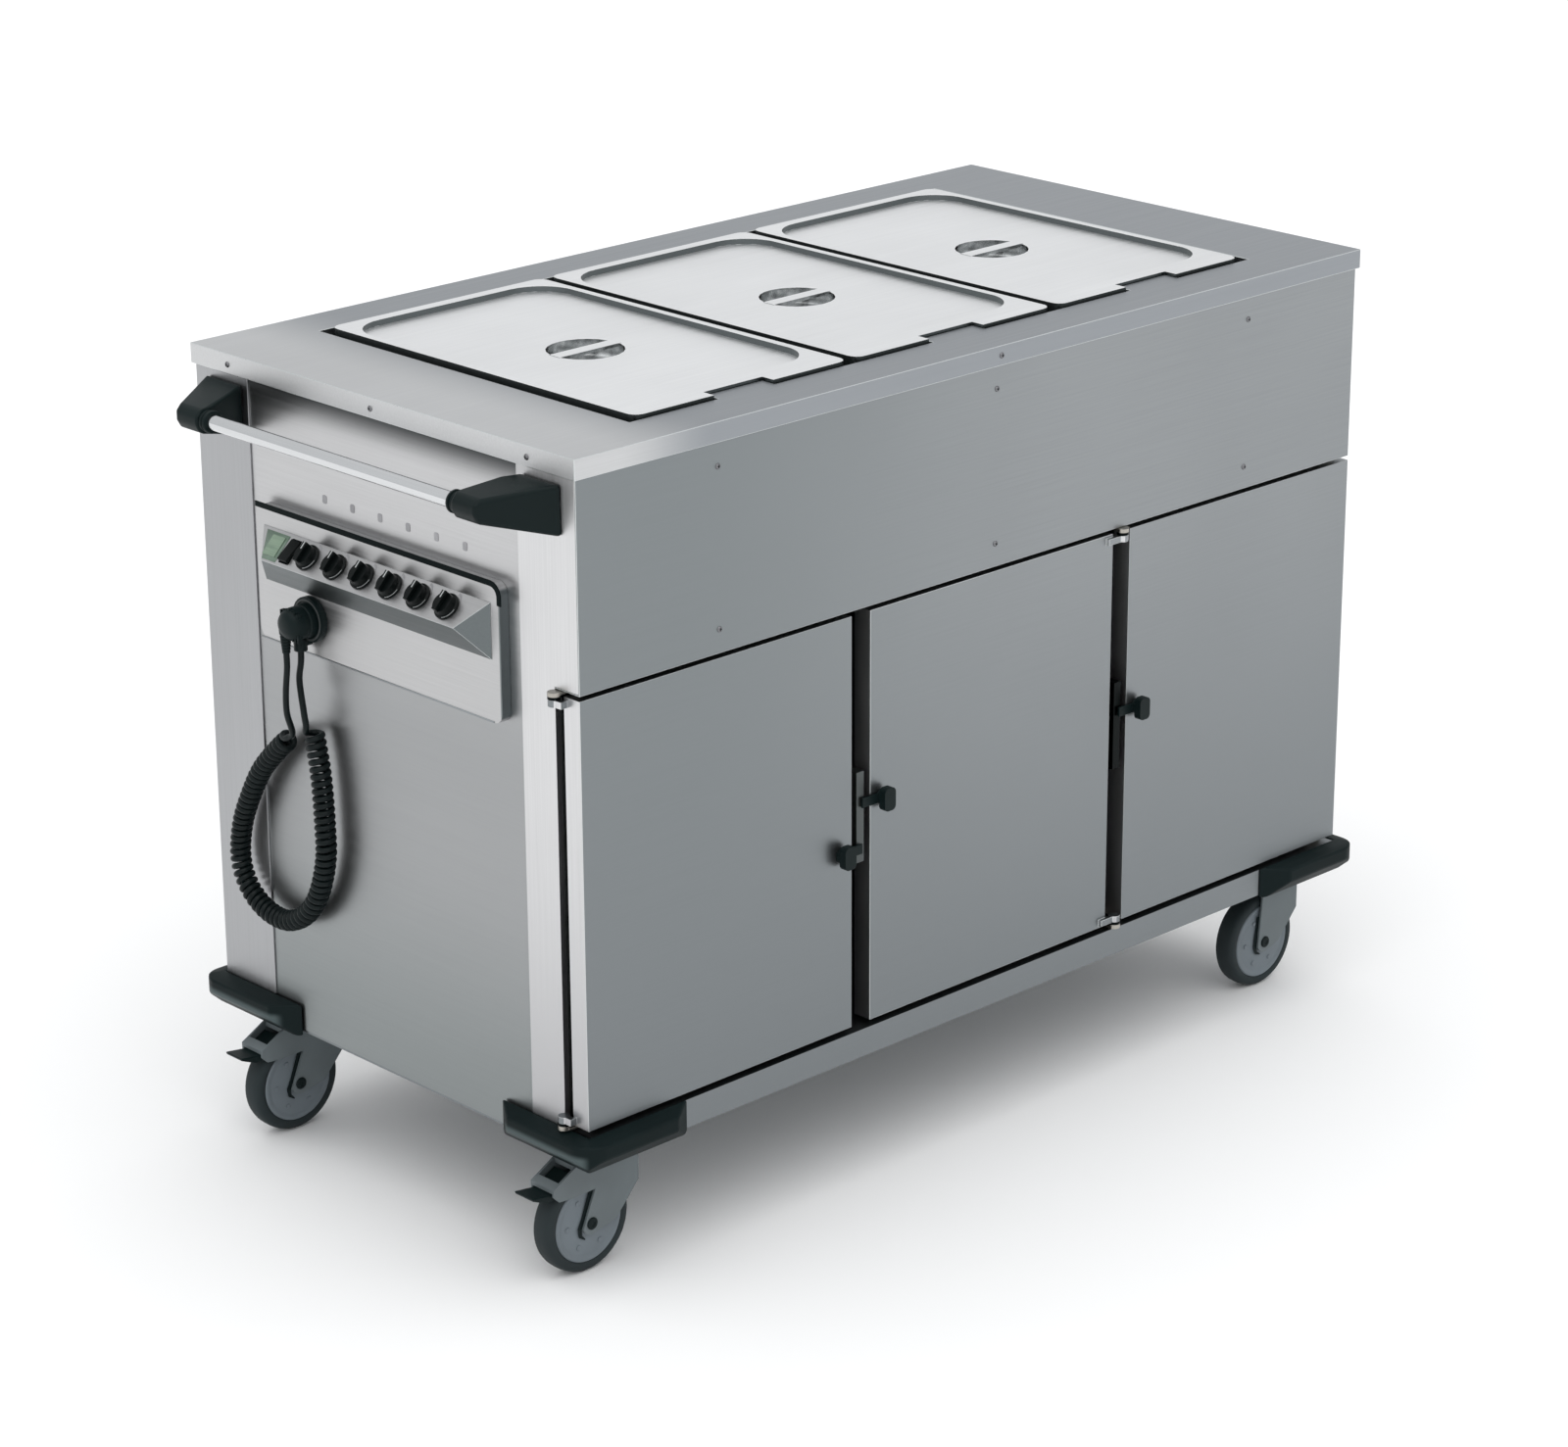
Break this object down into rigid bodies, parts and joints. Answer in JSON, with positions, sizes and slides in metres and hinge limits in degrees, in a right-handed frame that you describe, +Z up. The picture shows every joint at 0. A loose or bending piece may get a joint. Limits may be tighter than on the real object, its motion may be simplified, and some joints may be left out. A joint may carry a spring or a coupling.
{
  "type": "heated serving trolley",
  "caption": "Heated serving trolley on castors with lidded wells in the top, hinged cupboard doors, a control console with a parked plug, a push handle and corner bumpers.",
  "frame": {"origin": "on the floor, under the middle of the overall length and width", "axes": "+X along the trolley, away from the control end; -Y towards the cupboard doors; +Z up"},
  "size_m": [1.399, 0.712, 0.9885],
  "materials": {
    "worktop_steel": "brushed stainless sheet, semi-gloss",
    "panel_steel": "brushed stainless sheet, semi-gloss",
    "post_steel": "brushed stainless sheet, semi-gloss",
    "lid_steel": "fine satin stainless",
    "inner_steel": "plain mill finish",
    "dark_fitting": "satin black",
    "bar_steel": "polished tube",
    "black_plastic": "satin black moulding",
    "bumper_plastic": "fine-grained black moulding",
    "castor_plastic": "matte grey moulding",
    "tyre": "matte dark tread",
    "pilot_green": "pale green window",
    "cord": "satin black flex"
  },
  "bodies": {
    "carcass": {"worktop": "worktop_steel", "well_1": "inner_steel", "well_2": "inner_steel", "well_3": "inner_steel", "heating_mat": "inner_steel", "cupboard_ceiling": "inner_steel", "partition_1": "inner_steel", "partition_2": "inner_steel", "post_front": "post_steel", "post_back": "post_steel", "control_end_panel": "panel_steel", "far_end_panel": "panel_steel", "back_panel": "panel_steel", "front_apron": "panel_steel", "base_frame": "panel_steel", "control_cover": "panel_steel", "fascia": "panel_steel", "hinge_strap_1": "dark_fitting", "hinge_strap_2": "dark_fitting", "hinge_strap_3": "dark_fitting", "latch_keeper": "dark_fitting", "handle_bar": "bar_steel", "handle_bracket_front": "black_plastic", "handle_bracket_back": "black_plastic", "plug_holder": "black_plastic", "plug": "black_plastic", "pilot_window": "pilot_green", "bumper_front_left": "bumper_plastic", "bumper_back_left": "bumper_plastic", "bumper_front_right": "bumper_plastic", "bumper_back_right": "bumper_plastic", "castor_fork_front_right": "castor_plastic", "castor_fork_back_right": "castor_plastic", "cord_coil": "cord", "cord_tail_gland": "cord", "cord_tail_plug": "cord"},
    "lid_1": {"lid_1": "lid_steel"},
    "door_1": {"door_1": "panel_steel"},
    "latch_1": {"latch_1": "black_plastic"},
    "lid_2": {"lid_2": "lid_steel"},
    "door_2": {"door_2": "panel_steel"},
    "latch_2": {"latch_2": "black_plastic"},
    "lid_3": {"lid_3": "lid_steel"},
    "door_3": {"door_3": "panel_steel"},
    "latch_3": {"latch_3": "black_plastic"},
    "knob_1": {"knob_1": "black_plastic"},
    "knob_2": {"knob_2": "black_plastic"},
    "knob_3": {"knob_3": "black_plastic"},
    "knob_4": {"knob_4": "black_plastic"},
    "knob_5": {"knob_5": "black_plastic"},
    "knob_6": {"knob_6": "black_plastic"},
    "main_rocker": {"main_rocker": "black_plastic"},
    "castor_front_left": {"castor_fork_front_left": "castor_plastic"},
    "brake_pedal_front_left": {"brake_pedal_front_left": "black_plastic"},
    "castor_back_left": {"castor_fork_back_left": "castor_plastic"},
    "brake_pedal_back_left": {"brake_pedal_back_left": "black_plastic"},
    "wheel_front_left": {"wheel_front_left": "tyre"},
    "wheel_back_left": {"wheel_back_left": "tyre"},
    "wheel_front_right": {"wheel_front_right": "tyre"},
    "wheel_back_right": {"wheel_back_right": "tyre"}
  },
  "joints": [
    {"name": "lid_1_lift", "type": "slide", "parent": "carcass", "child": "lid_1", "axis": [0, 0, 1], "range_m": [0, 0.3]},
    {"name": "lid_2_lift", "type": "slide", "parent": "carcass", "child": "lid_2", "axis": [0, 0, 1], "range_m": [0, 0.3]},
    {"name": "lid_3_lift", "type": "slide", "parent": "carcass", "child": "lid_3", "axis": [0, 0, 1], "range_m": [0, 0.3]},
    {"name": "door_1_hinge", "type": "hinge", "parent": "carcass", "child": "door_1", "pos_m": [-0.6235, -0.296, 0.46], "axis": [0, 0, -1], "range_deg": [0, 180]},
    {"name": "door_2_hinge", "type": "hinge", "parent": "carcass", "child": "door_2", "pos_m": [0.24883, -0.333, 0.46], "axis": [0, 0, 1], "range_deg": [0, 120]},
    {"name": "door_3_hinge", "type": "hinge", "parent": "carcass", "child": "door_3", "pos_m": [0.6805, -0.296, 0.46], "axis": [0, 0, 1], "range_deg": [0, 180]},
    {"name": "latch_1_turn", "type": "hinge", "parent": "door_1", "child": "latch_1", "pos_m": [-0.22383, -0.331, 0.426], "axis": [0, 1, 0], "range_deg": [0, 90]},
    {"name": "latch_2_turn", "type": "hinge", "parent": "door_2", "child": "latch_2", "pos_m": [-0.15983, -0.331, 0.482], "axis": [0, 1, 0], "range_deg": [0, 90]},
    {"name": "latch_3_turn", "type": "hinge", "parent": "door_3", "child": "latch_3", "pos_m": [0.28083, -0.331, 0.482], "axis": [0, 1, 0], "range_deg": [0, 90]},
    {"name": "knob_1_turn", "type": "hinge", "parent": "carcass", "child": "knob_1", "pos_m": [-0.6433, 0.101, 0.782], "axis": [-0.719, 0, 0.695], "range_deg": [0, 270]},
    {"name": "knob_2_turn", "type": "hinge", "parent": "carcass", "child": "knob_2", "pos_m": [-0.6433, 0.052, 0.782], "axis": [-0.719, 0, 0.695], "range_deg": [0, 270]},
    {"name": "knob_3_turn", "type": "hinge", "parent": "carcass", "child": "knob_3", "pos_m": [-0.6433, 0.003, 0.782], "axis": [-0.719, 0, 0.695], "range_deg": [0, 270]},
    {"name": "knob_4_turn", "type": "hinge", "parent": "carcass", "child": "knob_4", "pos_m": [-0.6433, -0.046, 0.782], "axis": [-0.719, 0, 0.695], "range_deg": [0, 270]},
    {"name": "knob_5_turn", "type": "hinge", "parent": "carcass", "child": "knob_5", "pos_m": [-0.6433, -0.095, 0.782], "axis": [-0.719, 0, 0.695], "range_deg": [0, 270]},
    {"name": "knob_6_turn", "type": "hinge", "parent": "carcass", "child": "knob_6", "pos_m": [-0.6433, -0.144, 0.782], "axis": [-0.719, 0, 0.695], "range_deg": [0, 270]},
    {"name": "main_rocker_tilt", "type": "hinge", "parent": "carcass", "child": "main_rocker", "pos_m": [-0.6433, 0.134, 0.782], "axis": [0, 1, 0], "range_deg": [-14, 0]},
    {"name": "swivel_front_left", "type": "hinge", "parent": "carcass", "child": "castor_front_left", "pos_m": [-0.5415, -0.267, 0.1], "axis": [0, 0, 1], "continuous": true},
    {"name": "brake_front_left", "type": "hinge", "parent": "castor_front_left", "child": "brake_pedal_front_left", "pos_m": [-0.6255, -0.267, 0.112], "axis": [0, -1, 0], "range_deg": [0, 12]},
    {"name": "swivel_back_left", "type": "hinge", "parent": "carcass", "child": "castor_back_left", "pos_m": [-0.5415, 0.267, 0.1], "axis": [0, 0, 1], "continuous": true},
    {"name": "brake_back_left", "type": "hinge", "parent": "castor_back_left", "child": "brake_pedal_back_left", "pos_m": [-0.6255, 0.267, 0.112], "axis": [0, -1, 0], "range_deg": [0, 12]},
    {"name": "wheel_front_left_spin", "type": "hinge", "parent": "castor_front_left", "child": "wheel_front_left", "pos_m": [-0.5775, -0.267, 0.0625], "axis": [0, 1, 0], "continuous": true},
    {"name": "wheel_back_left_spin", "type": "hinge", "parent": "castor_back_left", "child": "wheel_back_left", "pos_m": [-0.5775, 0.267, 0.0625], "axis": [0, 1, 0], "continuous": true},
    {"name": "wheel_front_right_spin", "type": "hinge", "parent": "carcass", "child": "wheel_front_right", "pos_m": [0.5975, -0.267, 0.0625], "axis": [0, 1, 0], "continuous": true},
    {"name": "wheel_back_right_spin", "type": "hinge", "parent": "carcass", "child": "wheel_back_right", "pos_m": [0.5975, 0.267, 0.0625], "axis": [0, 1, 0], "continuous": true}
  ]
}
